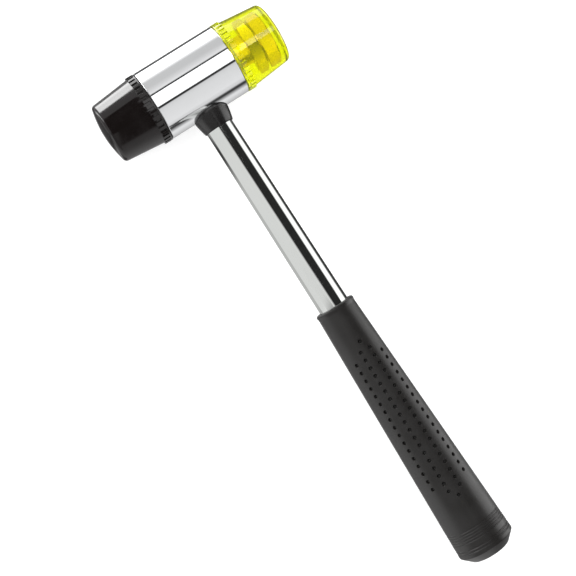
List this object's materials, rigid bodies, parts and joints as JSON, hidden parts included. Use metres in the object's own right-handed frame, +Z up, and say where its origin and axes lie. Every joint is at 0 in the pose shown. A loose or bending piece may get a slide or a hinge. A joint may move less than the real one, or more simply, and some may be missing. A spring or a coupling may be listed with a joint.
{
  "type": "double-faced soft mallet",
  "caption": "Soft-faced mallet with a chromed steel head, screw-in black and clear yellow plastic faces, and a chromed tube handle with a rubber grip.",
  "frame": {"origin": "on the surface that the mallet lies on, under the middle of its outline", "axes": "+X along the handle from the head to the butt, +Y along the head towards the yellow face, +Z up from the surface"},
  "size_m": [0.2808, 0.0954, 0.0354],
  "materials": {
    "head_chrome": "polished chrome plate on steel",
    "tube_chrome": "polished chrome plate on steel tube",
    "collar_plastic": "satin black moulded plastic",
    "plug_plastic": "black moulded plastic",
    "grip_rubber": "matt black rubber with dimples",
    "screw_steel": "black oxide steel",
    "black_face_plastic": "glossy black hard rubber-like plastic",
    "yellow_face_plastic": "clear fluorescent yellow plastic",
    "bolt_steel": "yellow zinc plated steel",
    "nut_steel": "yellow zinc plated steel, slightly dull",
    "washer_steel": "zinc plated spring steel"
  },
  "bodies": {
    "root": {"head_body": "head_chrome", "collar": "collar_plastic", "handle_tube": "tube_chrome", "tube_end_plug": "plug_plastic", "grip": "grip_rubber", "lock_screw_black_side": "screw_steel", "lock_screw_yellow_side": "screw_steel"},
    "black_washer": {"black_lock_washer": "washer_steel"},
    "black_face_unit": {"black_face": "black_face_plastic", "black_face_bolt": "bolt_steel", "black_face_nut": "nut_steel"},
    "yellow_washer": {"yellow_lock_washer": "washer_steel"},
    "yellow_face_unit": {"yellow_face": "yellow_face_plastic", "yellow_face_bolt": "bolt_steel", "yellow_face_nut": "nut_steel"}
  },
  "joints": [
    {"name": "black_face_travel", "type": "slide", "parent": "root", "child": "black_washer", "axis": [0, -1, 0], "range_m": [0, 0.0101]},
    {"name": "black_face_turn", "type": "hinge", "parent": "black_washer", "child": "black_face_unit", "pos_m": [-0.1227, 0, 0.0177], "axis": [0, -1, 0], "range_deg": [0, 2880]},
    {"name": "yellow_face_travel", "type": "slide", "parent": "root", "child": "yellow_washer", "axis": [0, 1, 0], "range_m": [0, 0.0101]},
    {"name": "yellow_face_turn", "type": "hinge", "parent": "yellow_washer", "child": "yellow_face_unit", "pos_m": [-0.1227, 0, 0.0177], "axis": [0, 1, 0], "range_deg": [0, 2880]}
  ],
  "couplings": [
    {"joint": "black_face_travel", "follows": "black_face_turn", "m_per_rad": 0.00019894},
    {"joint": "yellow_face_travel", "follows": "yellow_face_turn", "m_per_rad": 0.00019894}
  ]
}
